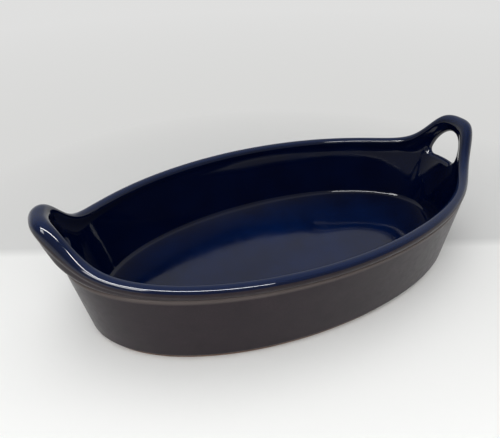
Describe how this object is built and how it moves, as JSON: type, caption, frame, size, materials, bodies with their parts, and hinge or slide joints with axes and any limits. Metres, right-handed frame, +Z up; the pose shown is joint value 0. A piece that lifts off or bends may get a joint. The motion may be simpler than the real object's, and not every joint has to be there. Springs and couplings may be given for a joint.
{
  "type": "oval casserole dish",
  "caption": "Oval glazed stoneware baking dish with a rounded rim that climbs at both ends into loop handles with finger holes.",
  "frame": {"origin": "under the centre of the dish, on the surface that it stands on", "axes": "+X along the length towards the right-hand handle, +Y across the width, +Z up"},
  "size_m": [0.396, 0.2094, 0.1126],
  "materials": {
    "fired_clay": "matt fired stoneware",
    "bare_foot": "matt unglazed stoneware",
    "blue_glaze": "glossy deep navy glaze",
    "brown_glaze": "satin dark brown-grey glaze"
  },
  "bodies": {
    "root": {"dish_body": "fired_clay", "left_handle": "fired_clay", "right_handle": "fired_clay", "foot_ring": "bare_foot", "interior_glaze": "blue_glaze", "exterior_glaze": "brown_glaze"}
  },
  "joints": []
}
